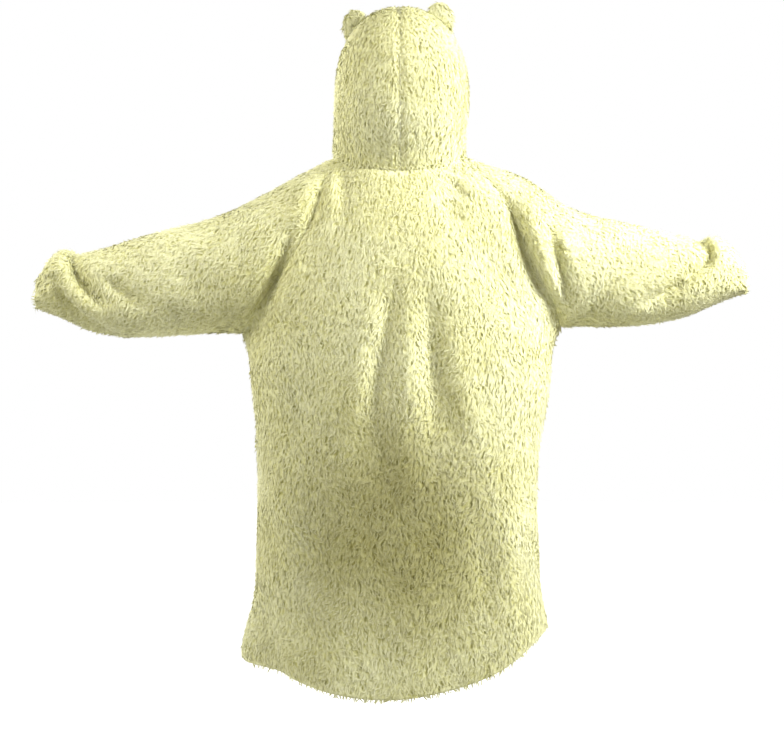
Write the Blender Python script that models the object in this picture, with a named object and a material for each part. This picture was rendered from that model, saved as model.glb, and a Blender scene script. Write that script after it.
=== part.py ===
"""A wearable blanket hoodie in plush fleece, held in the open shape it has when worn with both arms out.

Units are metres, +Z is up and -Y is the front. The origin is the middle of the neck opening, where the
shoulders of a wearer carry the garment. +X is the wearer's left.

The garment has one smooth outer form, made from three tables of sections: the body's level sections, the
sleeves' upright sections and the hood's level sections. The cut pieces (front, back, two raglan sleeves, two
hood halves, two ears) are regions of that form between shared seam lines. Each piece is a closed wall.
"""

import math
from collections import namedtuple

import bpy
import numpy as np

# Driving sizes
CLOTH = 0.008  # knit backing and brushed pile together
SEAM_GAP = 0.0003
NECK_GAP = 0.0005
UNDERARM_SOFTNESS = 0.045
RAGLAN_ROWS = 10
SIDE_ROWS = 17
BACK_COLUMNS = 40
FRONT_COLUMNS = 28
SLEEVE_COLUMNS = 24
ARM_ROWS = 19
HOOD_ROWS = 11
LEFT, RIGHT = 1, -1

# Level sections of the body: height, reach to the wearer's left and right, depth behind and in front
Body = namedtuple("Body", "z left right back front")
BODY = (
    Body(-1.000, 0.298, 0.286, 0.196, 0.206),
    Body(-0.925, 0.298, 0.287, 0.192, 0.202),
    Body(-0.897, 0.297, 0.287, 0.190, 0.201),
    Body(-0.860, 0.286, 0.283, 0.188, 0.199),
    Body(-0.820, 0.277, 0.273, 0.185, 0.197),
    Body(-0.745, 0.271, 0.268, 0.180, 0.194),
    Body(-0.630, 0.271, 0.262, 0.175, 0.191),
    Body(-0.517, 0.272, 0.268, 0.172, 0.190),
    Body(-0.440, 0.280, 0.282, 0.172, 0.189),
    Body(-0.365, 0.287, 0.289, 0.172, 0.186),
    Body(-0.305, 0.279, 0.284, 0.171, 0.182),
    Body(-0.250, 0.260, 0.266, 0.168, 0.177),
    Body(-0.200, 0.233, 0.240, 0.164, 0.171),
    Body(-0.150, 0.202, 0.208, 0.156, 0.162),
    Body(-0.100, 0.174, 0.179, 0.143, 0.150),
    Body(-0.050, 0.145, 0.148, 0.122, 0.133),
    Body(0.000, 0.117, 0.118, 0.094, 0.112),
    Body(0.030, 0.104, 0.105, 0.080, 0.098),
)
BODY_POWER = 2.4

# Upright sections of a sleeve: distance out from the middle, top, bottom and half depth
Sleeve = namedtuple("Sleeve", "reach top bottom depth")
LEFT_SLEEVE = (
    Sleeve(0.100, 0.024, -0.200, 0.100),
    Sleeve(0.140, 0.012, -0.245, 0.110),
    Sleeve(0.175, -0.004, -0.275, 0.116),
    Sleeve(0.211, -0.023, -0.295, 0.118),
    Sleeve(0.247, -0.043, -0.307, 0.117),
    Sleeve(0.285, -0.062, -0.3135, 0.114),
    Sleeve(0.321, -0.080, -0.3150, 0.109),
    Sleeve(0.376, -0.099, -0.3180, 0.101),
    Sleeve(0.456, -0.118, -0.3220, 0.090),
    Sleeve(0.519, -0.137, -0.3240, 0.082),
    Sleeve(0.570, -0.153, -0.3200, 0.077),
    Sleeve(0.600, -0.158, -0.3110, 0.074),
    Sleeve(0.630, -0.150, -0.2930, 0.069),
    Sleeve(0.652, -0.156, -0.2820, 0.060),
    Sleeve(0.672, -0.179, -0.2730, 0.047),
    Sleeve(0.690, -0.2115, -0.2680, 0.035),
)
RIGHT_SLEEVE = (
    Sleeve(0.100, 0.024, -0.200, 0.100),
    Sleeve(0.140, 0.013, -0.245, 0.110),
    Sleeve(0.196, -0.003, -0.285, 0.117),
    Sleeve(0.243, -0.022, -0.298, 0.118),
    Sleeve(0.274, -0.042, -0.302, 0.116),
    Sleeve(0.300, -0.062, -0.304, 0.113),
    Sleeve(0.348, -0.084, -0.3035, 0.105),
    Sleeve(0.424, -0.101, -0.3035, 0.094),
    Sleeve(0.480, -0.114, -0.2980, 0.086),
    Sleeve(0.530, -0.126, -0.2880, 0.080),
    Sleeve(0.565, -0.130, -0.2760, 0.075),
    Sleeve(0.595, -0.126, -0.2620, 0.069),
    Sleeve(0.622, -0.142, -0.2500, 0.058),
    Sleeve(0.642, -0.164, -0.2430, 0.045),
    Sleeve(0.656, -0.184, -0.2400, 0.035),
)
SLEEVE_POWER = 2.1
WRIST_CROWDING = 0.25  # how much closer the rings come together towards the wrist
SLEEVE_FADE_REACH = 0.120  # nearer the middle than this the sleeve form dies away

# Level sections of the hood up to its widest: height, reach to the left and right, depth behind and in front
Hood = namedtuple("Hood", "z left right back front")
HOOD = (
    Hood(-0.080, 0.128, 0.126, 0.096, 0.142),
    Hood(-0.040, 0.126, 0.123, 0.096, 0.132),
    Hood(0.000, 0.124, 0.119, 0.101, 0.122),
    Hood(0.030, 0.125, 0.118, 0.114, 0.117),
    Hood(0.060, 0.126, 0.125, 0.127, 0.115),
    Hood(0.100, 0.127, 0.131, 0.136, 0.117),
    Hood(0.140, 0.125, 0.1325, 0.137, 0.120),
)
CROWN_FOOT = 0.140  # above this height the hood closes over as a dome
CROWN_TOP = 0.308
HOOD_POWER = 2.2
HOOD_HEART = (0.0, -0.020, CROWN_FOOT)
CROWN_TURN = 62  # degrees above level, seen from the heart, where the back seam becomes the top seam
NAPE_TURN = -56  # degrees where the back seam first lies on the hood's form, just above the neck
HOOD_GUIDE = 0.150  # distance from the heart of the arc that guides the back seam
HOOD_BLEND = 0.30  # share of the rows over which the hood passes from the neck seam to its form

# The opening for the face, from the front of the neck up to the forehead: half width at each height
Face = namedtuple("Face", "z half_width")
FACE = (
    Face(-0.072, 0.004),
    Face(-0.050, 0.020),
    Face(-0.020, 0.044),
    Face(0.020, 0.068),
    Face(0.060, 0.081),
    Face(0.110, 0.087),
    Face(0.160, 0.082),
    Face(0.205, 0.064),
    Face(0.230, 0.040),
    Face(0.242, 0.000),
)
FACE_FOOT = 0.35  # share of the first step of the neck seam by which each half of the hood misses the middle

# The neck seam: an oval when seen from above
NECK_LEFT = 0.130
NECK_RIGHT = 0.128
NECK_BACK = 0.100
NECK_FRONT = 0.140
NECK_START_Z = -0.180  # a height inside the body from which the seam is sought upwards
NECK_DIP_SHAPE = 1.5
UNDERARM_START = 0.100  # height above the underarm, inside the sleeve, from which it is sought downwards
RAGLAN_TURN = 27  # degrees from the side of the neck to each raglan seam

# The raglan seams from the neck down to the underarm, distance out against height
Raglan = namedtuple("Raglan", "reach z")
LEFT_RAGLAN = (
    Raglan(0.122, 0.000),
    Raglan(0.144, -0.040),
    Raglan(0.163, -0.097),
    Raglan(0.184, -0.146),
    Raglan(0.206, -0.181),
    Raglan(0.234, -0.222),
    Raglan(0.262, -0.262),
    Raglan(0.286, -0.296),
    Raglan(0.302, -0.318),
)
RIGHT_RAGLAN = (
    Raglan(0.124, 0.002),
    Raglan(0.160, -0.028),
    Raglan(0.200, -0.070),
    Raglan(0.224, -0.124),
    Raglan(0.246, -0.180),
    Raglan(0.268, -0.232),
    Raglan(0.290, -0.272),
    Raglan(0.308, -0.308),
)

# The hem's height all round: degrees from the left side seam round the back, and round the front
Hem = namedtuple("Hem", "turn z")
BACK_HEM = (
    Hem(0, -0.914),
    Hem(16, -0.928),
    Hem(34, -0.933),
    Hem(46, -0.942),
    Hem(54, -0.955),
    Hem(63, -0.970),
    Hem(74, -0.981),
    Hem(87, -0.985),
    Hem(99, -0.978),
    Hem(109, -0.967),
    Hem(119, -0.952),
    Hem(128, -0.933),
    Hem(137, -0.907),
    Hem(145, -0.892),
    Hem(158, -0.878),
    Hem(180, -0.868),
)
FRONT_HEM = (
    Hem(0, -0.914),
    Hem(16, -0.927),
    Hem(36, -0.936),
    Hem(60, -0.958),
    Hem(90, -0.966),
    Hem(118, -0.950),
    Hem(138, -0.908),
    Hem(158, -0.880),
    Hem(180, -0.868),
)

# Folds: each follows a bent line from start by way of bend to end, seen square to the back or the front.
# A positive rise is a ridge and a negative one a trough.
Fold = namedtuple("Fold", "face x0 z0 x1 z1 x2 z2 rise width")
FOLDS = (
    Fold("back", 0.004, -0.232, 0.036, -0.350, 0.056, -0.560, -0.018, 0.018),
    Fold("back", 0.030, -0.250, 0.060, -0.360, 0.082, -0.500, 0.011, 0.022),
    Fold("back", -0.051, -0.232, -0.062, -0.370, -0.103, -0.535, -0.017, 0.022),
    Fold("back", -0.022, -0.250, -0.012, -0.420, -0.012, -0.620, 0.012, 0.027),
    Fold("back", -0.098, -0.300, -0.112, -0.410, -0.142, -0.540, 0.008, 0.024),
    Fold("back", 0.176, -0.400, 0.190, -0.485, 0.176, -0.560, -0.009, 0.022),
    Fold("back", 0.262, -0.510, 0.225, -0.650, 0.168, -0.790, 0.013, 0.020),
    Fold("back", 0.258, -0.550, 0.245, -0.630, 0.222, -0.715, -0.012, 0.018),
    Fold("back", 0.256, -0.750, 0.226, -0.870, 0.176, -0.965, 0.014, 0.020),
    Fold("back", 0.266, -0.770, 0.247, -0.865, 0.218, -0.955, -0.017, 0.018),
    Fold("back", -0.244, -0.700, -0.243, -0.800, -0.234, -0.880, -0.011, 0.017),
    Fold("back", -0.200, -0.640, -0.206, -0.790, -0.212, -0.930, 0.012, 0.022),
    Fold("back", 0.142, -0.020, 0.160, -0.090, 0.184, -0.156, -0.012, 0.013),
    Fold("back", 0.170, -0.020, 0.186, -0.085, 0.205, -0.134, 0.009, 0.015),
    Fold("back", 0.200, -0.106, 0.230, -0.212, 0.278, -0.318, -0.017, 0.015),
    Fold("back", 0.186, -0.190, 0.212, -0.240, 0.250, -0.316, 0.009, 0.018),
    Fold("back", -0.202, -0.052, -0.233, -0.170, -0.296, -0.300, -0.016, 0.014),
    Fold("back", -0.238, -0.060, -0.262, -0.160, -0.294, -0.246, 0.010, 0.015),
    Fold("back", -0.270, -0.100, -0.294, -0.184, -0.304, -0.268, -0.014, 0.014),
    Fold("back", -0.120, 0.002, -0.100, -0.050, -0.084, -0.118, -0.012, 0.014),
    Fold("back", -0.144, -0.010, -0.128, -0.050, -0.110, -0.110, 0.008, 0.015),
    Fold("back", 0.116, 0.002, 0.108, -0.030, 0.110, -0.070, -0.009, 0.013),
    Fold("back", 0.622, -0.142, 0.595, -0.215, 0.546, -0.268, -0.021, 0.014),
    Fold("back", 0.650, -0.170, 0.625, -0.240, 0.570, -0.296, 0.008, 0.015),
    Fold("back", 0.652, -0.196, 0.612, -0.280, 0.532, -0.320, -0.017, 0.014),
    Fold("back", 0.552, -0.206, 0.513, -0.240, 0.462, -0.272, -0.013, 0.014),
    Fold("back", 0.420, -0.184, 0.388, -0.222, 0.352, -0.260, -0.010, 0.018),
    Fold("back", 0.452, -0.266, 0.410, -0.290, 0.362, -0.314, -0.008, 0.016),
    Fold("back", -0.552, -0.122, -0.582, -0.164, -0.540, -0.206, -0.013, 0.014),
    Fold("back", -0.556, -0.190, -0.508, -0.234, -0.446, -0.266, -0.012, 0.016),
    Fold("back", -0.468, -0.170, -0.392, -0.237, -0.324, -0.298, -0.013, 0.017),
    Fold("front", 0.066, -0.150, 0.088, -0.330, 0.082, -0.570, -0.014, 0.022),
    Fold("front", -0.046, -0.190, -0.072, -0.340, -0.070, -0.530, -0.015, 0.021),
    Fold("front", 0.010, -0.230, 0.008, -0.400, 0.014, -0.640, 0.012, 0.030),
    Fold("front", -0.150, -0.350, -0.172, -0.500, -0.168, -0.670, 0.010, 0.026),
    Fold("front", 0.170, -0.410, 0.196, -0.560, 0.190, -0.710, -0.011, 0.024),
    Fold("front", 0.248, -0.700, 0.216, -0.830, 0.204, -0.960, 0.013, 0.022),
    Fold("front", -0.236, -0.630, -0.212, -0.770, -0.206, -0.910, -0.012, 0.021),
    Fold("front", 0.136, -0.040, 0.160, -0.110, 0.188, -0.176, -0.011, 0.014),
    Fold("front", 0.204, -0.120, 0.236, -0.220, 0.276, -0.314, -0.015, 0.015),
    Fold("front", -0.186, -0.080, -0.234, -0.190, -0.294, -0.298, -0.015, 0.015),
    Fold("front", 0.616, -0.160, 0.586, -0.230, 0.530, -0.284, -0.018, 0.014),
    Fold("front", 0.650, -0.206, 0.604, -0.276, 0.546, -0.312, -0.013, 0.014),
    Fold("front", 0.504, -0.196, 0.450, -0.240, 0.392, -0.296, -0.011, 0.017),
    Fold("front", -0.574, -0.140, -0.556, -0.200, -0.496, -0.254, -0.014, 0.014),
    Fold("front", -0.446, -0.164, -0.384, -0.226, -0.324, -0.292, -0.012, 0.017),
)
FOLD_POINTS = 17
FOLD_TAPER = 0.6

# Shallow waves towards the hem, and the gathers of the elastic in each sleeve end
Wave = namedtuple("Wave", "rise count phase")
HEM_WAVES = (
    Wave(0.004, 5, 0.6),
    Wave(0.003, 8, -1.1),
)
WAVES_START_Z = -0.450
WAVES_FULL_Z = -0.920
GATHERS = 6
GATHER_RISE = 0.0028
GATHER_START = 0.075  # distance inland from the sleeve's end
GATHER_FULL = 0.020

LINE_SAMPLES = 60  # points that a seam is first drawn with, before its own points are read from it
RIM_ORDER = np.array([0.31, 0.23, 1.0])  # two rims that face each other are cut into triangles alike
FOLD_REACH = 0.012  # how far past the side seams the folds of one face die away

# Ears: middle of the root seen from behind, lean outwards, and size
Ear = namedtuple("Ear", "name x z lean width height")
EARS = (
    Ear("ear_left", 0.080, 0.262, 30, 0.052, 0.031),
    Ear("ear_right", -0.072, 0.272, -22, 0.056, 0.034),
)
EAR_Y = -0.012
EAR_THICK = 0.019
EAR_SEAT = 0.0006
EAR_TIP_SHAPE = 0.75
EAR_SIDE_SHAPE = 0.5
EAR_COLUMNS = 12
EAR_ROWS = 6

SHARP_TURN = 50  # degrees between faces above which an edge is shaded sharp
PLUSH_COLOUR = (0.76, 0.77, 0.47, 1.0)
PLUSH_ROUGHNESS = 0.95


def curve(table, key, value):
    """A smooth curve through two columns of a table, in cubic pieces."""
    rows = sorted(table, key=lambda row: getattr(row, key))
    xs = np.array([getattr(row, key) for row in rows], float)
    ys = np.array([getattr(row, value) for row in rows], float)
    slopes = np.gradient(ys, xs)

    def at(x):
        x = np.clip(x, xs[0], xs[-1])
        i = np.clip(np.searchsorted(xs, x) - 1, 0, len(xs) - 2)
        span = xs[i + 1] - xs[i]
        t = (x - xs[i]) / span
        near = (1 + 2 * t) * (1 - t) ** 2 * ys[i] + t * (1 - t) ** 2 * span * slopes[i]
        far = t * t * (3 - 2 * t) * ys[i + 1] - t * t * (1 - t) * span * slopes[i + 1]
        return near + far

    return at


def smooth_step(low, high, x):
    t = np.clip((x - low) / (high - low), 0, 1)
    return t * t * (3 - 2 * t)


def smaller(a, b, softness):
    """The smaller of two distances, rounded where they are nearly equal."""
    share = np.clip(0.5 + 0.5 * (b - a) / softness, 0, 1)
    return b * (1 - share) + a * share - softness * share * (1 - share)


def unit(vectors):
    return vectors / np.maximum(np.linalg.norm(vectors, axis=-1, keepdims=True), 1e-12)


def oval_distance(u, v, half_u, half_v, power):
    """How far a point lies outside an oval, along the line from its middle. It is negative inside."""
    share = ((np.abs(u) / half_u) ** power + (np.abs(v) / half_v) ** power) ** (1 / power)
    radius = np.where(share > 1e-6, np.hypot(u, v) / np.maximum(share, 1e-6), np.minimum(half_u, half_v))
    return (share - 1) * radius


SIDES = ("left", "right", "back", "front")
body_left, body_right, body_back, body_front = (curve(BODY, "z", side) for side in SIDES)
hood_left, hood_right, hood_back, hood_front = (curve(HOOD, "z", side) for side in SIDES)
sleeve_sizes = {
    side: [curve(table, "reach", size) for size in ("top", "bottom", "depth")]
    for side, table in ((LEFT, LEFT_SLEEVE), (RIGHT, RIGHT_SLEEVE))
}


def body_halves(x, y, z):
    """The half sizes across and along of the body's level section, on the side where the point is."""
    return np.where(x > 0, body_left(z), body_right(z)), np.where(y > 0, body_back(z), body_front(z))


def garment_distance(points):
    """Distance outside the smooth form of the body and both sleeves."""
    x, y, z = points[:, 0], points[:, 1], points[:, 2]
    distance = oval_distance(x, y, *body_halves(x, y, z), BODY_POWER)
    for side in (LEFT, RIGHT):
        top, bottom, depth = (size(x * side) for size in sleeve_sizes[side])
        sleeve = oval_distance(z - (top + bottom) / 2, y, (top - bottom) / 2, depth, SLEEVE_POWER)
        sleeve = sleeve + np.maximum(SLEEVE_FADE_REACH - x * side, 0)
        distance = smaller(distance, sleeve, UNDERARM_SOFTNESS)
    return distance


def hood_distance(points):
    """Distance outside the hood's form: level ovals below, and above the crown's foot an oval dome."""
    x, y, z = points[:, 0], points[:, 1], points[:, 2]
    across = np.where(x > 0, hood_left(z), hood_right(z))
    along = np.where(y > 0, hood_back(z), hood_front(z))
    up = np.maximum(z - CROWN_FOOT, 0)
    sums = (np.abs(x) / across) ** HOOD_POWER + (np.abs(y) / along) ** HOOD_POWER
    share = (sums + (up / (CROWN_TOP - CROWN_FOOT)) ** HOOD_POWER) ** (1 / HOOD_POWER)
    radius = np.where(share > 1e-6, np.sqrt(x**2 + y**2 + up**2) / np.maximum(share, 1e-6), across)
    return (share - 1) * radius


def exit_points(distance, starts, towards, reach=0.5, steps=120, halvings=26):
    """Where the straight line from each start, inside a form, through its second point first leaves it."""
    directions = unit(towards - starts)
    near, far = np.zeros(len(starts)), np.full(len(starts), reach)
    found = np.zeros(len(starts), bool)
    for i in range(1, steps + 1):
        at = reach * i / steps
        outside = (distance(starts + directions * at) > 0) & ~found
        far[outside] = at
        found |= outside
        near[~found] = at
    for _ in range(halvings):
        middle = (near + far) / 2
        outside = distance(starts + directions * middle[:, None]) > 0
        far = np.where(outside, middle, far)
        near = np.where(outside, near, middle)
    return starts + directions * far[:, None]


def normals_of(distance, points, step=0.003):
    """Outward normals of a form, from the change of distance across a few millimetres."""
    slopes = [distance(points + offset) - distance(points - offset) for offset in np.eye(3) * step]
    return unit(np.stack(slopes, axis=1))


def fold_rise(points):
    """How far the folds lift the cloth at each point."""
    rise = np.zeros(len(points))
    s = np.linspace(0, 1, FOLD_POINTS)[:, None]
    for fold in FOLDS:
        start, bend, end = (np.array(p) for p in ((fold.x0, fold.z0), (fold.x1, fold.z1), (fold.x2, fold.z2)))
        control = 2 * bend - (start + end) / 2
        line = (1 - s) ** 2 * start + 2 * s * (1 - s) * control + s**2 * end
        legs = line[1:] - line[:-1]
        offsets = points[:, None, [0, 2]] - line[None, :-1]
        along = np.clip((offsets * legs).sum(2) / (legs**2).sum(1), 0, 1)
        gaps = np.linalg.norm(offsets - along[..., None] * legs, axis=2)
        nearest = gaps.argmin(1)
        rows = np.arange(len(points))
        share = (nearest + along[rows, nearest]) / (FOLD_POINTS - 1)
        facing = points[:, 1] if fold.face == "back" else -points[:, 1]
        fade = smooth_step(-FOLD_REACH, FOLD_REACH, facing) * np.sin(math.pi * share) ** FOLD_TAPER
        rise += fold.rise * fade * np.exp(-((gaps[rows, nearest] / fold.width) ** 2))
    return rise


def hem_rise(points):
    """Shallow waves that the cloth falls into towards the hem."""
    turn = np.arctan2(points[:, 1], points[:, 0])
    waves = sum(wave.rise * np.cos(wave.count * turn + wave.phase) for wave in HEM_WAVES)
    return waves * smooth_step(WAVES_START_Z, WAVES_FULL_Z, points[:, 2])


def gather_rise(points):
    """Gathers drawn in by the elastic at each wrist."""
    rise = np.zeros(len(points))
    for side, table in ((LEFT, LEFT_SLEEVE), (RIGHT, RIGHT_SLEEVE)):
        top, bottom, _ = (size(points[:, 0] * side) for size in sleeve_sizes[side])
        turn = np.arctan2(points[:, 1], points[:, 2] - (top + bottom) / 2)
        inland = table[-1].reach - points[:, 0] * side
        rise += GATHER_RISE * smooth_step(GATHER_START, GATHER_FULL, inland) * np.cos(GATHERS * turn + side)
    return rise


def neck_point(turn):
    """Points of the neck seam. The turn is 0 at the wearer's left, 90 at the back and 270 at the front."""
    turn = np.radians(np.atleast_1d(turn))
    x, y = np.cos(turn), np.sin(turn)
    x = x * np.where(x > 0, NECK_LEFT, NECK_RIGHT)
    y = y * np.where(y > 0, NECK_BACK, NECK_FRONT)
    below = np.stack([x, y, 0 * x + NECK_START_Z], axis=1)
    return exit_points(garment_distance, below, below + [0, 0, 1])


def spaced(points, count):
    """Points read from a line at equal distances along it."""
    lengths = np.concatenate([[0], np.cumsum(np.linalg.norm(np.diff(points, axis=0), axis=1))])
    wanted = np.linspace(0, lengths[-1], count + 1)
    return np.stack([np.interp(wanted, lengths, points[:, i]) for i in range(points.shape[1])], axis=1)


def raglan_seam(side, face):
    """The seam from the neck to the underarm, on the back (face 1) or the front (face -1)."""
    table = LEFT_RAGLAN if side == LEFT else RIGHT_RAGLAN
    top = neck_point(RAGLAN_TURN * face if side == LEFT else 180 - RAGLAN_TURN * face)
    start, end = abs(top[0, 0]), table[-1].reach
    z_at = curve(table, "reach", "z")

    def on_face(reaches):
        down = (reaches - start) / (end - start)
        z = z_at(reaches) + (top[0, 2] - z_at(start)) * (1 - down) ** 2
        flat = np.stack([side * reaches, 0 * reaches, z], axis=1)
        return exit_points(garment_distance, flat, flat + [0, face, 0])

    line = on_face(np.linspace(start, end, LINE_SAMPLES)[1:])
    seam = spaced(np.concatenate([top, line]), RAGLAN_ROWS)
    seam[1:-1] = on_face(np.abs(seam[1:-1, 0]))
    inside = seam[-1:] * [1, 0, 1] + [0, 0, UNDERARM_START]
    seam[-1:] = exit_points(garment_distance, inside, inside - [0, 0, 1])
    return seam


def level_row(face, left_end, right_end, lift):
    """One row across the back or front between its ends. lift is each point's height above a straight row."""
    share = np.linspace(0, 1, len(lift))
    turns = []
    for end in (left_end, right_end):
        across, along = body_halves(end[0], face, end[2])
        turns.append(math.atan2(abs(end[1]) / along, end[0] / across))
    turn = turns[0] + (turns[1] - turns[0]) * share
    z = left_end[2] + (right_end[2] - left_end[2]) * share + lift
    x, y = np.cos(turn), face * np.sin(turn)
    across, along = body_halves(x, y, z)
    starts = np.stack([0 * z, 0 * z, z], axis=1)
    row = exit_points(garment_distance, starts, starts + np.stack([x * across, y * along, 0 * z], axis=1))
    row[0], row[-1] = left_end, right_end
    return row


def panel(face, columns, left_seam, right_seam):
    """The back (face 1) or front (face -1) as rows from the neck to the hem, each from left to right."""
    share = np.linspace(0, 1, columns + 1)
    first = RAGLAN_TURN * face
    rows = [neck_point(first + (180 * face - 2 * first) * share)]
    dip = rows[0][columns // 2, 2] - (rows[0][0, 2] + rows[0][-1, 2]) / 2
    for k in range(1, RAGLAN_ROWS + 1):
        lift = dip * (1 - k / RAGLAN_ROWS) ** 2 * np.sin(math.pi * share) ** NECK_DIP_SHAPE
        rows.append(level_row(face, left_seam[k], right_seam[k], lift))
    hem = curve(BACK_HEM if face > 0 else FRONT_HEM, "turn", "z")(180 * share)
    top = left_seam[-1][2] + (right_seam[-1][2] - left_seam[-1][2]) * share
    for i in range(1, SIDE_ROWS + 1):
        z = top + (hem - top) * i / SIDE_ROWS
        middles = np.array([[0, 0, z[0]], [0, 0, z[-1]]])
        left_end, right_end = exit_points(garment_distance, middles, middles + [[1, 0, 0], [-1, 0, 0]])
        rows.append(level_row(face, left_end, right_end, z - (z[0] + (z[-1] - z[0]) * share)))
    return np.array(rows)


def sleeve(side, back_seam, front_seam):
    """A raglan sleeve as rings from the neck to the wrist, each from the front over the top to the back."""
    top, bottom, depth = sleeve_sizes[side]
    base = 0 if side == LEFT else 180
    turn = np.linspace(-RAGLAN_TURN, RAGLAN_TURN, SLEEVE_COLUMNS + 1)
    rows = [neck_point(base + turn if side == LEFT else base - turn)]
    table = LEFT_SLEEVE if side == LEFT else RIGHT_SLEEVE
    down = np.linspace(0, 1, ARM_ROWS + 1)
    underarm, wrist = abs(back_seam[-1][0]), table[-1].reach
    arm = underarm + (wrist - underarm) * (down * (1 + WRIST_CROWDING) - WRIST_CROWDING * down**2)
    share = np.linspace(0, 1, SLEEVE_COLUMNS + 1)
    for k in range(1, RAGLAN_ROWS + ARM_ROWS + 1):
        ends = [math.pi, math.pi]
        if k < RAGLAN_ROWS:
            reach = np.abs(front_seam[k][0]) * (1 - share) + np.abs(back_seam[k][0]) * share
        else:
            reach = arm[k - RAGLAN_ROWS] + 0 * share
        middle = np.stack([side * reach, 0 * reach, (top(reach) + bottom(reach)) / 2], axis=1)
        half_z, half_y = (top(reach) - bottom(reach)) / 2, depth(reach)
        if k < RAGLAN_ROWS:
            for i, point in ((0, front_seam[k]), (-1, back_seam[k])):
                ends[i] = math.atan2(abs(point[1]) / half_y[i], (point[2] - middle[i, 2]) / half_z[i])
        angle = ends[1] * share - ends[0] * (1 - share)
        towards = middle + np.stack([0 * angle, half_y * np.sin(angle), half_z * np.cos(angle)], axis=1)
        ring = exit_points(garment_distance, middle, towards)
        if k < RAGLAN_ROWS:
            ring[0], ring[-1] = front_seam[k], back_seam[k]
        else:
            ring[-1] = ring[0]
        rows.append(ring)
    rows[RAGLAN_ROWS][0] = rows[RAGLAN_ROWS][-1] = back_seam[-1]
    return np.array(rows)


def blended_patch(bottom, top, first, last):
    """A grid between four edge lines. Its rows run from the first edge to the last, bottom to top."""
    s = np.linspace(0, 1, len(bottom))[None, :, None]
    t = np.linspace(0, 1, len(first))[:, None, None]
    across = (1 - t) * bottom[None] + t * top[None]
    up = (1 - s) * first[:, None] + s * last[:, None]
    corners = (1 - t) * ((1 - s) * bottom[0] + s * bottom[-1]) + t * ((1 - s) * top[0] + s * top[-1])
    return across + up - corners


def hood_half(side, neck_line):
    """Half of the hood: rows from the neck up to the top seam, each from the face edge to the back seam."""
    heart = np.array(HOOD_HEART)

    def on_hood(guide):
        """Guide points moved onto the form, level up to the heart's height and outwards from it above."""
        flat = guide.reshape(-1, 3)
        starts = heart + 0 * flat
        starts[:, 2] = np.minimum(flat[:, 2], heart[2])
        return exit_points(hood_distance, starts, flat).reshape(guide.shape)

    half_width = curve(FACE, "z", "half_width")
    heights = np.linspace(neck_line[0][2], FACE[-1].z, LINE_SAMPLES)
    inside = np.stack([side * half_width(heights), 0 * heights, heights], axis=1)
    face_edge = exit_points(hood_distance, inside, inside - [0, 1, 0])
    face_edge[0] = neck_line[0]
    face_edge[-1, 0] = 0
    face_edge = spaced(face_edge, HOOD_ROWS)
    back_turn = np.radians(np.linspace(NAPE_TURN, CROWN_TURN, LINE_SAMPLES))
    back_arc = np.stack([0 * back_turn, np.cos(back_turn), np.sin(back_turn)], axis=1)
    back_seam = on_hood(heart + HOOD_GUIDE * back_arc)
    back_seam = spaced(np.concatenate([neck_line[-1:], back_seam]), HOOD_ROWS)
    forehead_turn = math.atan2(face_edge[-1, 2] - heart[2], face_edge[-1, 1] - heart[1])
    top_turn = np.linspace(forehead_turn, math.radians(CROWN_TURN), LINE_SAMPLES)
    top_seam = on_hood(heart + np.stack([0 * top_turn, np.cos(top_turn), np.sin(top_turn)], axis=1))
    top_seam[0], top_seam[-1] = face_edge[-1], back_seam[-1]
    top_seam = spaced(top_seam, len(neck_line) - 1)
    guide = blended_patch(neck_line, top_seam, face_edge, back_seam)
    grid = on_hood(guide)
    on_form = smooth_step(0, HOOD_BLEND, np.linspace(0, 1, HOOD_ROWS + 1))[:, None, None]
    grid = guide * (1 - on_form) + grid * on_form
    grid[0], grid[:, 0], grid[:, -1] = neck_line, face_edge, back_seam
    grid[-1] = top_seam
    return grid


def folded(grid, normals):
    """The grid with its folds, hem waves and wrist gathers."""
    flat = grid.reshape(-1, 3)
    rise = fold_rise(flat) + hem_rise(flat) + gather_rise(flat)
    return grid + rise.reshape(grid.shape[:-1])[..., None] * normals


def grid_normals(distance, grid):
    return normals_of(distance, grid.reshape(-1, 3)).reshape(grid.shape)


def drawn_in(grid, normals, gaps):
    """The grid with the edges that gaps names pulled into the piece by half their seam gap."""
    made = grid.copy()
    lines = {"top": np.s_[0, :], "bottom": np.s_[-1, :], "first": np.s_[:, 0], "last": np.s_[:, -1]}
    neighbours = {"top": grid[1], "bottom": grid[-2], "first": grid[:, 1], "last": grid[:, -2]}
    for edge, gap in gaps.items():
        line = grid[lines[edge]]
        step = unit(np.cross(normals[lines[edge]], np.gradient(line, axis=0)))
        inward = np.sign(((neighbours[edge] - line) * step).sum(-1).mean())
        made[lines[edge]] += step * inward * gap / 2
    return made


def neck_normals(points):
    """Normals halfway between the body's and the hood's, so that the pieces mitre along the neck seam."""
    return unit(normals_of(garment_distance, points) + normals_of(hood_distance, points))


def straighten_neck(grid, normals):
    """Every second point of a panel's neck edge moves onto the straight line between its neighbours."""
    for line in (grid[0], normals[0]):
        line[1::2] = (line[:-1:2] + line[2::2]) / 2


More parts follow.
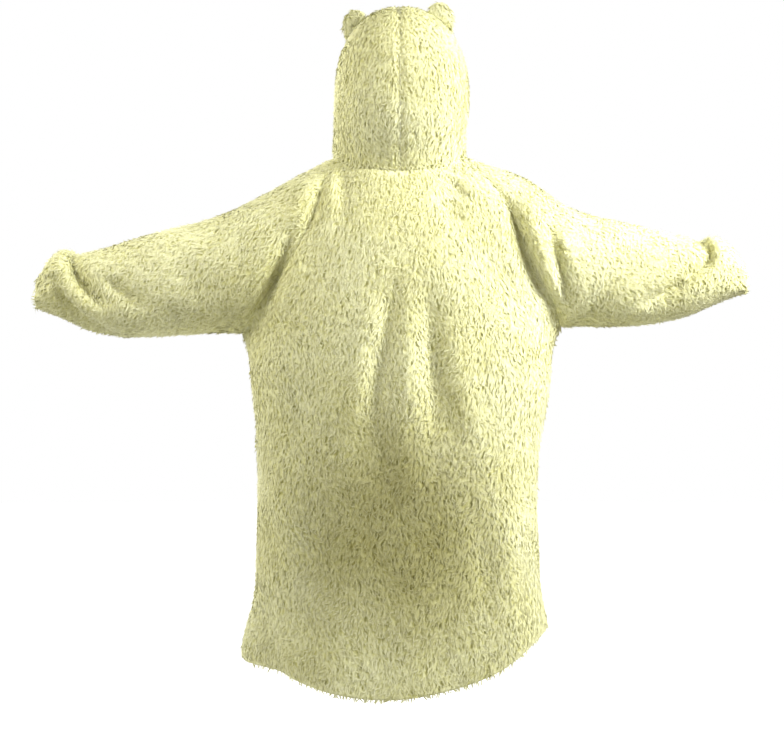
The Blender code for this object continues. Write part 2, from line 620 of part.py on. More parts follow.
def wall(name, outer, normals, closed_from=None):
    """A closed wall of cloth from its outer grid. Rows from closed_from on are closed rings."""
    rows, columns = outer.shape[:2]
    index = np.arange(rows * columns).reshape(rows, columns)
    if closed_from is not None:
        index[closed_from:, -1] = index[closed_from:, 0]
    points = outer.reshape(-1, 3)
    inner = points - normals.reshape(-1, 3) * CLOTH
    faces = [
        (index[i, j], index[i + 1, j], index[i + 1, j + 1], index[i, j + 1])
        for i in range(rows - 1)
        for j in range(columns - 1)
    ]
    middle = len(faces) // 2
    a, b, c = (points[i] for i in faces[middle][:3])
    if np.dot(np.cross(b - a, c - a), normals.reshape(-1, 3)[faces[middle][0]]) < 0:
        faces = [face[::-1] for face in faces]
    edges = {(face[i], face[(i + 1) % 4]) for face in faces for i in range(4)}
    rim = [(b, a) for a, b in edges if (b, a) not in edges]
    offset = len(points)
    faces += [tuple(i + offset for i in face[::-1]) for face in faces]
    order = points @ RIM_ORDER
    for a, b in rim:
        if order[a] > order[b]:
            faces += [(a, b, b + offset), (a, b + offset, a + offset)]
        else:
            faces += [(a, b, a + offset), (b, b + offset, a + offset)]
    used = sorted({i for face in faces for i in face})
    place = {old: new for new, old in enumerate(used)}
    both = np.concatenate([points, inner])
    mesh = bpy.data.meshes.new(name)
    mesh.from_pydata([tuple(both[i]) for i in used], [], [[place[i] for i in face] for face in faces])
    return add_object(name, mesh)


def add_object(name, mesh):
    mesh.validate()
    mesh.update()
    mesh.shade_smooth()
    mesh.set_sharp_from_angle(angle=math.radians(SHARP_TURN))
    mesh.materials.append(plush_material(name))
    made = bpy.data.objects.new(name, mesh)
    bpy.context.scene.collection.objects.link(made)
    return made


def plush_material(name):
    material = bpy.data.materials.new("plush_" + name)
    material.use_nodes = True
    shader = material.node_tree.nodes["Principled BSDF"]
    shader.inputs["Base Color"].default_value = PLUSH_COLOUR
    shader.inputs["Roughness"].default_value = PLUSH_ROUGHNESS
    shader.inputs["Metallic"].default_value = 0.0
    return material


def ear(spec):
    """A small stuffed round ear, standing on the hood with its flat side to the front and back."""
    lean = math.radians(spec.lean)
    up = np.array([math.sin(lean), 0.0, math.cos(lean)])
    across = np.array([math.cos(lean), 0.0, -math.sin(lean)])
    heart = np.array(HOOD_HEART)
    middle = np.array([spec.x, EAR_Y, spec.z])
    turn = np.linspace(0, math.pi, EAR_COLUMNS + 1)[1:-1]
    seats = []
    for side in (-1, 1):
        root = middle - across * (np.cos(turn) * spec.width / 2)[:, None]
        root[:, 1] += side * EAR_THICK / 2 * np.sin(turn) ** EAR_SIDE_SHAPE
        seat = exit_points(hood_distance, np.repeat(heart[None], len(root), 0), root)
        seats.append(seat + normals_of(hood_distance, seat) * EAR_SEAT)
    share = np.linspace(0, 1, EAR_ROWS + 1)[:, None, None]
    rise = up * (np.sin(turn) ** EAR_TIP_SHAPE * spec.height)[:, None]
    centre = (seats[0] + seats[1]) / 2
    rings = [centre + (seat - centre) * np.sqrt(1 - share**2) + rise * share for seat in seats]
    front, back = rings
    points = np.concatenate([front[:-1].reshape(-1, 3), back[:-1].reshape(-1, 3), (front[-1] + back[-1]) / 2])
    count = len(turn)
    sheet = EAR_ROWS * count

    def at(which, j, i):
        return 2 * sheet + i if j == EAR_ROWS else which * sheet + j * count + i

    faces = []
    for j in range(EAR_ROWS):
        for i in range(count - 1):
            faces.append((at(0, j, i), at(0, j, i + 1), at(0, j + 1, i + 1), at(0, j + 1, i)))
            faces.append((at(1, j, i + 1), at(1, j, i), at(1, j + 1, i), at(1, j + 1, i + 1)))
        for i, order in ((0, 1), (count - 1, -1)):
            side = [at(0, j, i), at(0, j + 1, i), at(1, j + 1, i), at(1, j, i)]
            side = [p for n, p in enumerate(side) if p not in side[:n]]
            faces.append(tuple(side[::order]))
    for i in range(count - 1):
        faces.append((at(0, 0, i + 1), at(0, 0, i), at(1, 0, i), at(1, 0, i + 1)))
    mesh = bpy.data.meshes.new(spec.name)
    mesh.from_pydata([tuple(p) for p in points], [], faces)
    return add_object(spec.name, mesh)


def neck_lines(back, front, sleeves):
    """The hood's edge on each side, front to back, through every second point of the panels' edges."""
    half_back, half_front = BACK_COLUMNS // 2, FRONT_COLUMNS // 2
    left = (front[half_front::-1], sleeves[LEFT][1:], back[1 : half_back + 1])
    right = (front[half_front:], sleeves[RIGHT][1:], back[-2 : half_back - 1 : -1])
    lines = {LEFT: np.concatenate(left)[::2], RIGHT: np.concatenate(right)[::2]}
    for line in lines.values():
        line[0] += (line[1] - line[0]) * FACE_FOOT
    return lines


def build_hood(name, grid):
    normals = grid_normals(hood_distance, grid)
    normals[0] = neck_normals(grid[0])
    for middle in (normals[0, :1], normals[:, -1], normals[-1]):
        middle[:, 0] = 0
    normals = unit(normals)
    wall(name, drawn_in(grid, normals, {"top": NECK_GAP, "bottom": SEAM_GAP, "last": SEAM_GAP}), normals)


def build_panel(name, grid, normals):
    made = drawn_in(grid, normals, {"top": NECK_GAP, "first": SEAM_GAP, "last": SEAM_GAP})
    straighten_neck(made, normals)
    wall(name, made, normals)


def build_sleeve(name, grid, normals):
    made = grid.copy()
    cap = slice(0, RAGLAN_ROWS + 1)
    gaps = {"top": NECK_GAP, "first": SEAM_GAP, "last": SEAM_GAP}
    made[cap] = drawn_in(grid[cap], normals[cap], gaps)
    straighten_neck(made, normals)
    underarm, next_ring = grid[RAGLAN_ROWS, 0], grid[RAGLAN_ROWS + 1, 0]
    made[RAGLAN_ROWS, 0] = made[RAGLAN_ROWS, -1] = underarm + unit(next_ring - underarm) * SEAM_GAP
    wall(name, made, normals, closed_from=RAGLAN_ROWS)


def build():
    for old in list(bpy.data.objects):
        bpy.data.objects.remove(old)
    left_back, left_front = raglan_seam(LEFT, 1), raglan_seam(LEFT, -1)
    right_back, right_front = raglan_seam(RIGHT, 1), raglan_seam(RIGHT, -1)
    grids = {
        "body_back": panel(1, BACK_COLUMNS, left_back, right_back),
        "body_front": panel(-1, FRONT_COLUMNS, left_front, right_front),
        "sleeve_left": sleeve(LEFT, left_back, left_front),
        "sleeve_right": sleeve(RIGHT, right_back, right_front),
    }
    normals = {name: grid_normals(garment_distance, grid) for name, grid in grids.items()}
    grids = {name: folded(grid, normals[name]) for name, grid in grids.items()}
    sleeve_tops = {LEFT: grids["sleeve_left"][0], RIGHT: grids["sleeve_right"][0]}
    lines = neck_lines(grids["body_back"][0], grids["body_front"][0], sleeve_tops)
    build_hood("hood_left", hood_half(LEFT, lines[LEFT]))
    build_hood("hood_right", hood_half(RIGHT, lines[RIGHT]))
    for name, grid in grids.items():
        normals[name][0] = neck_normals(grid[0])
        make = build_sleeve if name.startswith("sleeve") else build_panel
        make(name, grid, normals[name])
    for spec in EARS:
        ear(spec)


build()
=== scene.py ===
"""The looks of a plush wearable blanket hoodie: its cloth, the deep pile on it, the ears, a floor and light.

Units are metres, +Z is up and -Y is the front. Each cut piece starts from the closed wall that the frame holds
for it. The wall is smoothed, its outer face sinks by the depth of the pile, and the finer creases and the
valleys at the seams are pressed into it. Tufts rise from the outer face, and fine hairs grow out of them to
the wall's own outline.
"""

import math
from collections import namedtuple

import bmesh
import bpy
import numpy as np
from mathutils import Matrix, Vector
from mathutils.noise import noise as wave
from mathutils.noise import noise_vector as wander
from mathutils.noise import seed_set
from mathutils.kdtree import KDTree


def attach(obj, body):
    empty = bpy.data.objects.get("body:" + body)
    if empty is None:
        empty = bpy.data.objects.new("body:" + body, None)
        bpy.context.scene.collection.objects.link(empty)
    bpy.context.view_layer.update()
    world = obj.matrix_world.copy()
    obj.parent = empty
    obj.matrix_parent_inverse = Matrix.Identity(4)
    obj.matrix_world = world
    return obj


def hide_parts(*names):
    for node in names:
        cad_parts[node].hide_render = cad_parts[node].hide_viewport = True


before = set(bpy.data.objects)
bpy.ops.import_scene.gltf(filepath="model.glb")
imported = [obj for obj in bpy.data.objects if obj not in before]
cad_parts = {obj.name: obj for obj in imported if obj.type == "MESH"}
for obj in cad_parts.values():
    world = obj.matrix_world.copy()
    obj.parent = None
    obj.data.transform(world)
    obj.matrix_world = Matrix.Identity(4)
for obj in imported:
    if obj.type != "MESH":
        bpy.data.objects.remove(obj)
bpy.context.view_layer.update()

# The walls
CLOTH = 0.008
SAME_POINT = 0.00001
TWIN_SLACK = 0.0003  # how far a wall's thickness may be from that of the cloth
PILE_DEPTH = 0.0045  # how far the knit lies under the outline of the pile
SMOOTHING = 2
RIM_TURN = 38  # degrees between faces above which a wall's edge stays sharp
SEAM_REACH = 0.0012  # edges of two pieces nearer than this are sewn together
SEAM_STEP = 0.0015
SEAM_WIDTH = 0.0075
OUTER = 0.5  # a point whose layer is above this belongs to the outer face

# Pieces: the middle line of each hollow, from start to end, and the cut before it was sewn
Piece = namedtuple("Piece", "name start end flat area held hairs")
PIECES = (
    Piece("body_back", (0, 0, -1.0), (0, 0, 0.03), (0.84, 1.02), 0.66, "hung", 28500),
    Piece("body_front", (0, 0, -1.0), (0, 0, 0.03), (0.84, 1.00), 0.66, "hung", 28500),
    Piece("sleeve_left", (0.08, 0, -0.10), (0.69, 0, -0.24), (0.62, 0.66), 0.31, "gathered", 14000),
    Piece("sleeve_right", (-0.08, 0, -0.10), (-0.66, 0, -0.212), (0.60, 0.63), 0.30, "gathered", 13500),
    Piece("hood_left", (0, -0.02, 0.0), (0, -0.02, 0.14), (0.36, 0.42), 0.115, "draped", 5200),
    Piece("hood_right", (0, -0.02, 0.0), (0, -0.02, 0.14), (0.36, 0.42), 0.115, "draped", 5200),
)
EARS = ("ear_left", "ear_right")
EAR_HAIRS = 700
EAR_CUTS = 3

# How deep the pile parts along each kind of seam
SEAM_DEPTHS = {
    ("hood", "hood"): 0.0035,
    ("body", "hood"): 0.0030,
    ("hood", "sleeve"): 0.0030,
    ("body", "sleeve"): 0.0030,
    ("body", "body"): 0.0020,
}

# Creases: each follows a bent line from start by way of bend to end, seen square to the back or the front
Crease = namedtuple("Crease", "face x0 z0 x1 z1 x2 z2 rise width")
CREASES = (
    Crease("back", 0.622, -0.142, 0.595, -0.215, 0.546, -0.268, -0.018, 0.010),
    Crease("back", 0.652, -0.196, 0.612, -0.280, 0.532, -0.320, -0.016, 0.011),
    Crease("back", 0.552, -0.206, 0.513, -0.240, 0.462, -0.272, -0.011, 0.010),
    Crease("back", -0.552, -0.122, -0.582, -0.164, -0.540, -0.206, -0.015, 0.010),
    Crease("back", -0.556, -0.190, -0.508, -0.234, -0.446, -0.266, -0.010, 0.011),
    Crease("back", 0.200, -0.106, 0.230, -0.212, 0.278, -0.318, -0.009, 0.014),
    Crease("back", -0.202, -0.052, -0.233, -0.170, -0.296, -0.300, -0.010, 0.013),
    Crease("back", -0.270, -0.100, -0.294, -0.184, -0.304, -0.268, -0.008, 0.012),
    Crease("back", 0.012, -0.250, 0.045, -0.420, 0.095, -0.585, -0.0045, 0.018),
    Crease("back", -0.055, -0.250, -0.055, -0.420, -0.070, -0.585, -0.0045, 0.016),
    Crease("back", 0.225, -0.360, 0.185, -0.450, 0.125, -0.510, -0.004, 0.018),
    Crease("back", 0.165, -0.640, 0.180, -0.760, 0.150, -0.890, -0.005, 0.020),
    Crease("back", -0.130, -0.620, -0.160, -0.760, -0.145, -0.900, -0.005, 0.020),
    Crease("front", 0.200, -0.110, 0.235, -0.210, 0.280, -0.315, -0.010, 0.013),
    Crease("front", -0.200, -0.100, -0.235, -0.200, -0.285, -0.300, -0.009, 0.014),
    Crease("front", 0.090, -0.300, 0.115, -0.480, 0.100, -0.700, -0.007, 0.018),
    Crease("front", -0.100, -0.260, -0.130, -0.450, -0.110, -0.640, -0.007, 0.017),
    Crease("front", 0.010, -0.500, 0.030, -0.650, 0.000, -0.850, -0.005, 0.020),
    Crease("front", 0.612, -0.150, 0.590, -0.215, 0.546, -0.262, -0.012, 0.010),
    Crease("front", 0.552, -0.206, 0.513, -0.240, 0.462, -0.272, -0.009, 0.011),
    Crease("front", -0.552, -0.122, -0.582, -0.164, -0.540, -0.206, -0.011, 0.010),
    Crease("front", -0.556, -0.190, -0.508, -0.234, -0.446, -0.266, -0.009, 0.011),
)
CREASE_POINTS = 17
CREASE_TAPER = 0.6
CREASE_REACH = 0.012

# The pile: tufts raised in the cloth, longer along the lie of the pile, and hairs with three sides
TUFT = 0.0062
TUFT_STRETCH = 0.50
TUFT_RISE = 0.0032
TUFT_WANDER = 0.0040
WANDER_SIZE = 0.016
HAIR_WIDTH = 0.0026
HAIR_LENGTH = 0.0100
HAIR_RISE = 0.30  # share of a hair's length by which it stands up
HAIR_CURL = 0.3
LENGTH_SPREAD = 0.35
LEAN_SPREAD = 0.8  # radians either way
SWIRL = 0.30  # radians by which the lie of the pile wanders over the cloth
SOFTNESS = 0.75  # share of the cloth's own normal in the shading of each hair
SEED = 11

# Painted shade low on the back: its middle and how far it reaches each way
PAINTED_SHADE_PLACE = (0.0, 0.18, -0.67)
PAINTED_SHADE_REACH = (0.25, 0.20, 0.27)

LENS_SENSOR = 0.036
CAMERA_PLACE = (0.0152, 4.5, -0.378)
VIEW_WIDTH = 1.4896  # width of the view at the garment's middle plane
FLOOR_Z = -1.43
FLOOR_REACH = 14.0
FLOOR_SIDES = 96
GLOW_START = 1.3
GLOW_FULL = 2.4
SURROUND_SEEN = 1.0
SURROUND_LIGHT = 0.28

# Lamps: the spread is in radians, the power is in watts, the colour is red, green and blue
Lamp = namedtuple("Lamp", "name place aim size spread power colour")
LAMPS = (
    Lamp("key", (-1.9, 0.85, 0.75), (-0.5, 0, 0.0), 0.9, 1.25, 22, (0.98, 0.99, 1.0)),
    Lamp("fill", (1.7, 1.0, 0.9), (0.25, 0, 0.05), 1.1, 1.9, 15, (1.0, 0.99, 0.96)),
    Lamp("front", (1.9, -2.3, 1.0), (0, 0, -0.3), 1.4, 3.0, 85, (1.0, 1.0, 0.98)),
    Lamp("front_fill", (-1.9, -2.0, 0.7), (0, 0, -0.3), 1.4, 3.0, 24, (1.0, 1.0, 0.98)),
)


def unit(vectors):
    return vectors / np.maximum(np.linalg.norm(vectors, axis=-1, keepdims=True), 1e-12)


def smooth_step(low, high, x):
    t = np.clip((x - low) / (high - low), 0, 1)
    return t * t * (3 - 2 * t)


def read(data, name, width=1):
    """One property of every member of a mesh's data, as an array."""
    values = np.empty(len(data) * width, np.float32)
    data.foreach_get(name, values)
    return values.reshape(-1, width).astype(float) if width > 1 else values.astype(float)


def hollow_middle(piece, points):
    """The nearest point of the hollow's middle line to each point."""
    start, end = np.array(piece.start, float), np.array(piece.end, float)
    along = np.clip((points - start) @ (end - start) / ((end - start) @ (end - start)), 0, 1)
    return start + along[:, None] * (end - start)


def solid_wall(name):
    """The frame's wall with its shared points joined and its triangles paired."""
    mesh = bmesh.new()
    mesh.from_mesh(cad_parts[name].data)
    bmesh.ops.remove_doubles(mesh, verts=mesh.verts, dist=SAME_POINT)
    limit = math.radians(RIM_TURN)
    bmesh.ops.join_triangles(mesh, faces=mesh.faces, angle_face_threshold=limit, angle_shape_threshold=math.radians(70))
    mesh.normal_update()
    mesh.verts.index_update()
    return mesh


def wall_layers(piece, mesh):
    """For each point of a wall the way outwards, and 1 on the outer face or 0 on the inner one."""
    tree = KDTree(len(mesh.verts))
    for point in mesh.verts:
        tree.insert(point.co, point.index)
    tree.balance()
    places = np.array([point.co for point in mesh.verts])
    middles = hollow_middle(piece, places)
    outwards, layer = np.zeros_like(places), np.zeros(len(places))
    for point in mesh.verts:
        near = tree.find_range(point.co, CLOTH + TWIN_SLACK)
        across = [point.co - place for place, _, gap in near if gap > CLOTH - TWIN_SLACK]
        through = np.array(max(across, key=lambda step: abs(step @ point.normal)))
        outer = through @ (places[point.index] - middles[point.index]) > 0
        outwards[point.index] = through / CLOTH if outer else -through / CLOTH
        layer[point.index] = outer
    return outwards, layer


def keep_rims(mesh, layer):
    """Creases a wall's edges where its outer or inner face meets a rim."""
    sharp = mesh.edges.layers.float.get("crease_edge") or mesh.edges.layers.float.new("crease_edge")
    for edge in mesh.edges:
        kinds = [{bool(layer[point.index]) for point in face.verts} for face in edge.link_faces]
        rims = [len(kind) > 1 for kind in kinds]
        turned = edge.calc_face_angle(0) > math.radians(RIM_TURN)
        edge[sharp] = 1.0 if any(rims) and (not all(rims) or turned) else 0.0


def smoothed(piece):
    """A wall smoothed into a fine mesh, with the way outwards and the layer kept as attributes."""
    mesh = solid_wall(piece.name)
    outwards, layer = wall_layers(piece, mesh)
    keep_rims(mesh, layer)
    coarse = bpy.data.meshes.new(piece.name + "_coarse")
    mesh.to_mesh(coarse)
    mesh.free()
    coarse.attributes.new("outwards", "FLOAT_VECTOR", "POINT").data.foreach_set("vector", outwards.ravel())
    coarse.attributes.new("layer", "FLOAT", "POINT").data.foreach_set("value", layer)
    made = bpy.data.objects.new(piece.name + "_coarse", coarse)
    bpy.context.scene.collection.objects.link(made)
    smooth = made.modifiers.new("smooth", "SUBSURF")
    smooth.levels = smooth.render_levels = SMOOTHING
    fine = bpy.data.meshes.new_from_object(made.evaluated_get(bpy.context.evaluated_depsgraph_get()))
    bpy.data.objects.remove(made)
    return fine


def crease_rise(points):
    """How far the creases lift the cloth at each point."""
    rise = np.zeros(len(points))
    s = np.linspace(0, 1, CREASE_POINTS)[:, None]
    for crease in CREASES:
        ends = ((crease.x0, crease.z0), (crease.x1, crease.z1), (crease.x2, crease.z2))
        start, bend, end = (np.array(p) for p in ends)
        control = 2 * bend - (start + end) / 2
        line = (1 - s) ** 2 * start + 2 * s * (1 - s) * control + s**2 * end
        legs = line[1:] - line[:-1]
        offsets = points[:, None, [0, 2]] - line[None, :-1]
        along = np.clip((offsets * legs).sum(2) / (legs**2).sum(1), 0, 1)
        gaps = np.linalg.norm(offsets - along[..., None] * legs, axis=2)
        nearest = gaps.argmin(1)
        rows = np.arange(len(points))
        share = (nearest + along[rows, nearest]) / (CREASE_POINTS - 1)
        facing = points[:, 1] if crease.face == "back" else -points[:, 1]
        fade = smooth_step(-CREASE_REACH, CREASE_REACH, facing) * np.sin(math.pi * share) ** CREASE_TAPER
        rise += crease.rise * fade * np.exp(-((gaps[rows, nearest] / crease.width) ** 2))
    return rise


def rim_lines(mesh):
    """Pairs of ends of the edges that bound a wall's outer face."""
    layer = read(mesh.attributes["layer"].data, "value")
    places = read(mesh.vertices, "co", 3)
    edges = np.empty(len(mesh.edges) * 2, np.int32)
    mesh.edges.foreach_get("vertices", edges)
    edges = edges.reshape(-1, 2)
    outer = (layer[edges] > 0.999).all(1)
    rim = np.zeros(len(places), bool)
    for face in mesh.polygons:
        shares = layer[list(face.vertices)]
        if shares.min() < 0.999 < shares.max():
            rim[list(face.vertices)] = True
    chosen = edges[outer & rim[edges].all(1)]
    return places[chosen[:, 0]], places[chosen[:, 1]]


def seam_points(meshes):
    """Points along every seam, each with the depth to which the pile parts there."""
    rims = {}
    for name, mesh in meshes.items():
        starts, ends = rim_lines(mesh)
        lines = []
        for start, end in zip(starts, ends):
            count = max(1, round(np.linalg.norm(end - start) / SEAM_STEP))
            lines.append(start + (end - start) * (np.arange(count)[:, None] + 0.5) / count)
        rims[name] = np.concatenate(lines)
    found, depths = [], []
    names = sorted(rims)
    for i, name in enumerate(names):
        tree = KDTree(len(rims[name]))
        for k, place in enumerate(rims[name]):
            tree.insert(place, k)
        tree.balance()
        for other in names[:i]:
            kinds = tuple(sorted((name.split("_")[0], other.split("_")[0])))
            for place in rims[other]:
                if tree.find(place)[2] < SEAM_REACH:
                    found.append(place)
                    depths.append(SEAM_DEPTHS[kinds])
    return np.array(found), np.array(depths)


def seam_dip(points, seams, depths):
    """How far the cloth dips at each point for the nearest seam."""
    tree = KDTree(len(seams))
    for k, place in enumerate(seams):
        tree.insert(place, k)
    tree.balance()
    nearest = [tree.find(point)[1:] for point in points]
    index = np.array([k for k, _ in nearest])
    gap = np.array([d for _, d in nearest])
    return depths[index] * np.exp(-((gap / SEAM_WIDTH) ** 2))


def press(mesh, seams, depths):
    """Sinks the outer face under the pile and presses the creases and seam valleys into the wall."""
    places = read(mesh.vertices, "co", 3)
    outwards = unit(read(mesh.attributes["outwards"].data, "vector", 3))
    layer = read(mesh.attributes["layer"].data, "value")
    move = crease_rise(places) - layer * (PILE_DEPTH + seam_dip(places, seams, depths))
    places += outwards * move[:, None]
    mesh.vertices.foreach_set("co", places.ravel())
    mesh.update()


def mesh_of(name, points, faces):
    """A mesh from arrays of points and of faces that all have the same number of corners."""
    mesh = bpy.data.meshes.new(name)
    count, corners = faces.shape
    mesh.vertices.add(len(points))
    mesh.vertices.foreach_set("co", points.astype(np.float32).ravel())
    mesh.loops.add(count * corners)
    mesh.loops.foreach_set("vertex_index", faces.astype(np.int32).ravel())
    mesh.polygons.add(count)
    mesh.polygons.foreach_set("loop_start", np.arange(count, dtype=np.int32) * corners)
    mesh.update(calc_edges=True)
    return mesh


def shown(name, mesh, *materials):
    made = bpy.data.objects.new(name, mesh)
    bpy.context.scene.collection.objects.link(made)
    for material in materials:
        mesh.materials.append(material)
    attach(made, "root")
    return made


def scattered(corners, count, chance):
    """Points spread evenly by area over four-cornered faces, and the face of each."""
    first = np.cross(corners[:, 1] - corners[:, 0], corners[:, 2] - corners[:, 0])
    second = np.cross(corners[:, 2] - corners[:, 0], corners[:, 3] - corners[:, 0])
    areas = (np.linalg.norm(first, axis=1) + np.linalg.norm(second, axis=1)) / 2
    total = np.cumsum(areas) / areas.sum() * count
    face = np.searchsorted(total, np.arange(count) + chance.random(count))
    face = np.minimum(face, len(corners) - 1)
    u, v = chance.random((2, count, 1))
    a, b, c, d = (corners[face, k] for k in range(4))
    return a * (1 - u) * (1 - v) + b * u * (1 - v) + c * u * v + d * (1 - u) * v, face


def lie_of(name, points, normals):
    """The way the pile lies at each point: down the body and the hood, and down and out along a sleeve."""
    way = np.tile([0.0, 0.0, -1.0], (len(points), 1))
    if name.startswith("sleeve"):
        way[:, 0] = np.sign(points[:, 0]) * 0.9
    way = unit(way - (way * normals).sum(1, keepdims=True) * normals)
    x, y, z = points.T
    turn = SWIRL * (np.sin(31 * x + 17 * z + 9 * y) + np.sin(47 * z - 23 * x + 1.3) + np.sin(71 * x + 59 * y - 37 * z))
    return way, turn


def tuft_heights(name, places):
    """How high the pile stands at each place, from 0 in its partings to 1 on its tufts."""
    heights = np.empty(len(places))
    side = math.copysign(0.67, places[0][0])
    along = Vector((side, 0, -0.74)) if name.startswith("sleeve") else Vector((0, 0, -1))
    for k, place in enumerate(places):
        point = Vector(place)
        point += wander(point / WANDER_SIZE) * TUFT_WANDER
        point -= along * (point @ along) * (1 - TUFT_STRETCH)
        ridge = 1 - 2.1 * abs(wave(point / TUFT))
        grain = wave(point / TUFT * 2.3)
        heights[k] = 0.72 * ridge + 0.35 * grain + 0.22
    return np.clip(heights, 0, 1)


def raise_tufts(name, mesh):
    """Cuts each outer face into four and raises the tufts of the pile in them."""
    made = bmesh.new()
    made.from_mesh(mesh)
    layer = made.verts.layers.float["layer"]
    outer = [edge for edge in made.edges if all(point[layer] > OUTER for point in edge.verts)]
    bmesh.ops.subdivide_edges(made, edges=outer, cuts=1, use_grid_fill=True)
    made.to_mesh(mesh)
    made.free()
    places = read(mesh.vertices, "co", 3)
    outwards = unit(read(mesh.attributes["outwards"].data, "vector", 3))
    heights = np.zeros(len(places))
    raised = read(mesh.attributes["layer"].data, "value") > OUTER
    heights[raised] = tuft_heights(name, places[raised])
    # the tuft heights are kept as depth, which the tuft material turns into painted shade in the partings
    mesh.attributes.new("depth", "FLOAT", "POINT").data.foreach_set("value", heights)
    places += outwards * (heights * TUFT_RISE)[:, None]
    mesh.vertices.foreach_set("co", places.ravel())
    mesh.update()


def grow(name, points, normals, way, turn, chance):
    """Hairs of pile at the given roots."""
    count = len(points)
    turn = turn + chance.uniform(-LEAN_SPREAD, LEAN_SPREAD, count)
    aside = np.cross(normals, way)
    lean = way * np.cos(turn)[:, None] + aside * np.sin(turn)[:, None]
    across = np.cross(normals, lean)
    length = HAIR_LENGTH * (1 + chance.uniform(-LENGTH_SPREAD, LENGTH_SPREAD, (count, 1)))
    rise = HAIR_RISE * chance.uniform(0.6, 1.2, (count, 1))
    curl = across * chance.uniform(-HAIR_CURL, HAIR_CURL, (count, 1))
    half = across * HAIR_WIDTH / 2
    middle = points + (lean * 0.5 + normals * rise * 0.75 + curl * 0.2) * length
    tip = points + (lean + normals * rise + curl) * length
    corners = np.stack([points - half, points + half, middle - half * 0.8, middle + half * 0.8, tip], axis=1)
    sides = np.array([(1, 0, 2), (1, 2, 3), (3, 2, 4)])
    faces = (sides[None] + (np.arange(count) * 5)[:, None, None]).reshape(-1, 3)
    mesh = mesh_of(name, corners.reshape(-1, 3), faces)
    # depth along each hair, which the hair material turns into painted shade at its root
    depth = np.tile([0.45, 0.45, 0.8, 0.8, 1.0], count)
    mesh.attributes.new("depth", "FLOAT", "POINT").data.foreach_set("value", depth)
    shade = np.repeat(chance.random(count), 5)
    mesh.attributes.new("shade", "FLOAT", "POINT").data.foreach_set("value", shade)
    mesh.shade_smooth()
    own = read(mesh.vertex_normals, "vector", 3)
    soft = unit(own * (1 - SOFTNESS) + np.repeat(normals, 5, axis=0) * SOFTNESS)
    mesh.normals_split_custom_set_from_vertices(soft)
    return mesh


def outer_faces(mesh):
    """Corners and normals of a wall's outer faces."""
    layer = read(mesh.attributes["layer"].data, "value")
    corners = np.empty(len(mesh.loops), np.int32)
    mesh.loops.foreach_get("vertex_index", corners)
    corners = corners.reshape(-1, 4)
    outer = (layer[corners] > OUTER).all(1)
    normals = read(mesh.vertex_normals, "vector", 3)
    return read(mesh.vertices, "co", 3)[corners[outer]], normals[corners[outer]].mean(1)


def new_material(name):
    material = bpy.data.materials.new(name)
    material.use_nodes = True
    return material, material.node_tree, material.node_tree.nodes["Principled BSDF"]


def ramp(tree, source, stops):
    made = tree.nodes.new("ShaderNodeValToRGB")
    elements = made.color_ramp.elements
    while len(elements) < len(stops):
        elements.new(0.5)
    for element, (place, colour) in zip(elements, stops):
        element.position = place
        element.color = (*colour, 1)
    tree.links.new(source, made.inputs["Fac"])
    return made.outputs["Color"]


def multiplied(tree, first, second, share=1.0):
    made = tree.nodes.new("ShaderNodeMix")
    made.data_type = "RGBA"
    made.blend_type = "MULTIPLY"
    made.inputs["Factor"].default_value = share
    tree.links.new(first, made.inputs["A"])
    tree.links.new(second, made.inputs["B"])
    return made.outputs["Result"]


def noise(tree, scale, detail=2.0):
    place = tree.nodes.new("ShaderNodeTexCoord").outputs["Object"]
    made = tree.nodes.new("ShaderNodeTexNoise")
    made.inputs["Scale"].default_value = scale
    made.inputs["Detail"].default_value = detail
    tree.links.new(place, made.inputs["Vector"])
    return made.outputs["Fac"]


def bump(tree, shader, height, strength, distance):
    made = tree.nodes.new("ShaderNodeBump")
    made.inputs["Strength"].default_value = strength
    made.inputs["Distance"].default_value = distance
    tree.links.new(height, made.inputs["Height"])
    tree.links.new(made.outputs["Normal"], shader.inputs["Normal"])


def attribute(tree, name):
    made = tree.nodes.new("ShaderNodeAttribute")
    made.attribute_name = name
    return made.outputs["Fac"]


def streaks(tree, scale, stretch):
    """Noise drawn out along the height of the garment."""
    place = tree.nodes.new("ShaderNodeTexCoord").outputs["Object"]
    drawn = tree.nodes.new("ShaderNodeMapping")
    drawn.inputs["Scale"].default_value = (1, 1, stretch)
    made = tree.nodes.new("ShaderNodeTexNoise")
    made.inputs["Scale"].default_value = scale
    tree.links.new(place, drawn.inputs["Vector"])
    tree.links.new(drawn.outputs["Vector"], made.inputs["Vector"])
    return made.outputs["Fac"]


def painted_shade_low_back(tree):
    """1 at the middle of the painted shade low on the back, fading to 0 around it."""
    place = tree.nodes.new("ShaderNodeTexCoord").outputs["Object"]
    moved = tree.nodes.new("ShaderNodeMapping")
    moved.vector_type = "TEXTURE"
    moved.inputs["Location"].default_value = PAINTED_SHADE_PLACE
    moved.inputs["Scale"].default_value = PAINTED_SHADE_REACH
    ball = tree.nodes.new("ShaderNodeTexGradient")
    ball.gradient_type = "SPHERICAL"
    tree.links.new(place, moved.inputs["Vector"])
    tree.links.new(moved.outputs["Vector"], ball.inputs["Vector"])
    return ball.outputs["Fac"]


